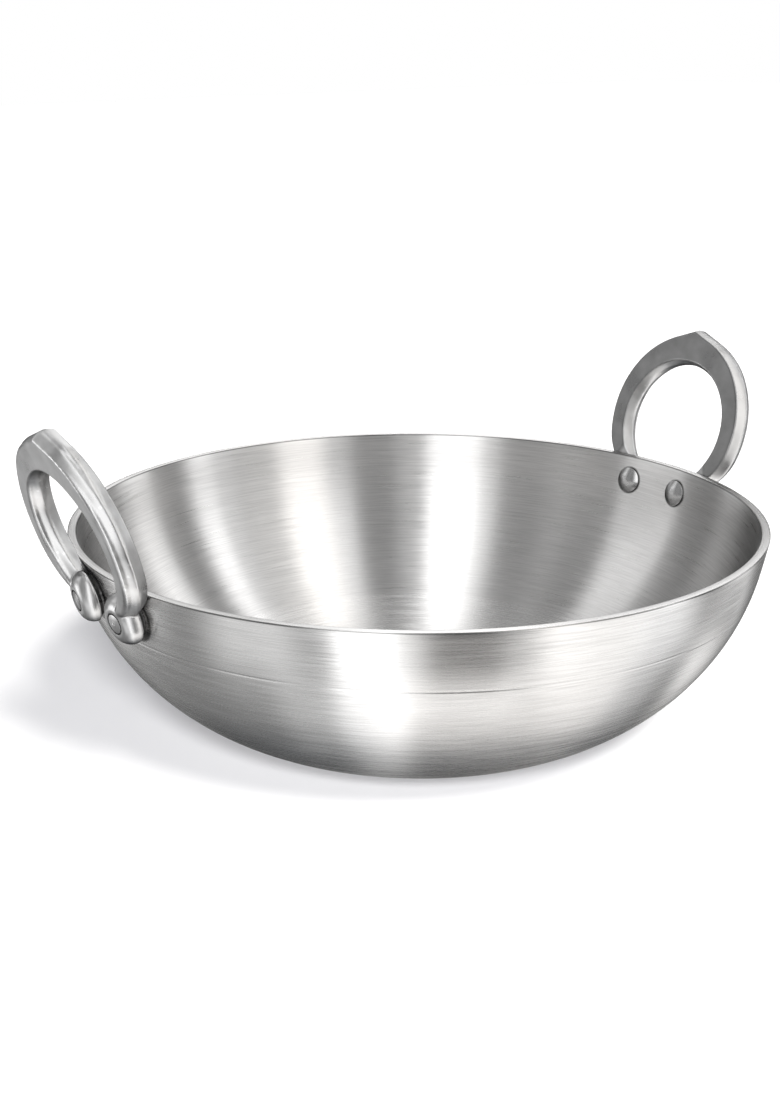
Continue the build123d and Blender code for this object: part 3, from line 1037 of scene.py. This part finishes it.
def makeWorld():
    world = bpy.data.worlds.new("studioRoom")
    bpy.context.scene.world = world
    world.use_nodes = True
    tree = world.node_tree
    tree.nodes.clear()
    coords = tree.nodes.new("ShaderNodeTexCoord").outputs["Generated"]
    heading = addNode(tree, "ShaderNodeVectorRotate", {}, rotation_type="Z_AXIS")
    heading.inputs["Angle"].default_value = -math.radians(studio["open"])
    tree.links.new(coords, heading.inputs["Vector"])
    ray = heading.outputs[0]
    viewer = Vector((math.sqrt(1 - studio["rise"] ** 2), 0, studio["rise"]))
    x, y, z = splitNode(tree, vectorNode(tree, "NORMALIZE", vectorNode(tree, "ADD", ray, viewer)))
    turn = mathNode(tree, "DEGREES", mathNode(tree, "ARCTAN2", y, x))
    tilt = mathNode(tree, "DEGREES", mathNode(tree, "ARCSINE", z))
    shown = sumLights(tree, studio["base"], turn, tilt, studio["strips"])
    for zone in ("lip", "floor", "shade"):
        lower = sumLights(tree, studio[zone + "Base"], turn, tilt, studio[zone + "Strips"])
        shown = blendColours(tree, rangeNode(tree, tilt, 1, 0, *studio[zone + "Zone"]), shown, lower)
    steep = rangeNode(tree, tilt, 1, 0, *studio["underZone"])
    shown = blendColours(tree, steep, shown, (studio["under"],) * 3)
    grazing = rangeNode(tree, vectorNode(tree, "DOT_PRODUCT", ray, -viewer), 0, 1, *studio["behindZone"])
    shown = blendColours(tree, grazing, shown, (studio["behind"],) * 3)
    path = tree.nodes.new("ShaderNodeLightPath").outputs
    strength = rangeNode(tree, path["Is Diffuse Ray"], 1, studio["paperShare"], 0, 1)
    soft = addNode(tree, "ShaderNodeBackground", {"Color": shown, "Strength": strength})
    white = addNode(tree, "ShaderNodeBackground", {"Color": (1, 1, 1, 1)})
    mix = addNode(tree, "ShaderNodeMixShader", {
        0: path["Is Camera Ray"], 1: soft.outputs[0], 2: white.outputs[0]})
    addNode(tree, "ShaderNodeOutputWorld", {0: mix.outputs[0]})


# The lamps light the paper and throw its shadows; the strips do the reflections. "turn" is the lamp's heading
# from the open side, "height" its angle above the paper and "spread" its width, in degrees.
lamps = {
    "frontLamp": {"turn": 4, "height": 33, "spread": 12, "power": 3.7, "colour": (0.985, 0.985, 1)},
    "sideLamp": {"turn": 37, "height": 50, "spread": 20, "power": 4.5, "colour": (1, 0.985, 0.95)},
}


def makeSun(name, lamp):
    data = bpy.data.lights.new(name, "SUN")
    data.energy = lamp["power"]
    data.angle = math.radians(lamp["spread"])
    data.color = lamp["colour"]
    heading, height = math.radians(studio["open"] + lamp["turn"]), math.radians(lamp["height"])
    level = math.cos(height)
    origin = Vector((math.cos(heading) * level, math.sin(heading) * level, math.sin(height)))
    sun = newObject(name, data)
    sun.rotation_euler = origin.to_track_quat("Z", "Y").to_euler()
    sun.visible_glossy = False


view = {
    "photo": (780, 1108),
    "sensor": 36.0,
    "focal": 1652.24,  # in pixels of the photograph
    "middle": (300.0, 480.0),  # principal point in the photograph
    "distance": 0.64703,
    "height": 0.27153,
    "turn": 0.6422,  # from the camera's own axes to the handles
    "pitch": 0.2639,
    "yaw": -0.0714,
    "roll": -0.0158,
    "clip": (0.01, 50),
}


def makeCamera():
    data = bpy.data.cameras.new("photoCamera")
    data.sensor_width = view["sensor"]
    data.sensor_fit = "AUTO"
    wide, tall = view["photo"]
    data.lens = view["focal"] / tall * view["sensor"]
    data.shift_x = (wide / 2 - view["middle"][0]) / tall
    data.shift_y = (view["middle"][1] - tall / 2) / tall
    data.clip_start, data.clip_end = view["clip"]
    camera = newObject("photoCamera", data)
    p, w, r = view["pitch"], view["yaw"], view["roll"]
    ahead = Vector((math.sin(w) * math.cos(p), math.cos(w) * math.cos(p), -math.sin(p)))
    right = Vector((math.cos(w), -math.sin(w), 0))
    up = right.cross(ahead)
    right, up = right * math.cos(r) + up * math.sin(r), up * math.cos(r) - right * math.sin(r)
    axes = Matrix((right, up, -ahead)).transposed().to_4x4()
    spot = Matrix.Translation((0, -view["distance"], view["height"]))
    camera.matrix_world = Matrix.Rotation(-view["turn"], 4, "Z") @ spot @ axes
    bpy.context.scene.camera = camera


makeFloor()
makeWorld()
for name, lamp in lamps.items():
    makeSun(name, lamp)
makeCamera()
bpy.context.scene.view_settings.view_transform = "Standard"
print("floor, lamps and camera in place")
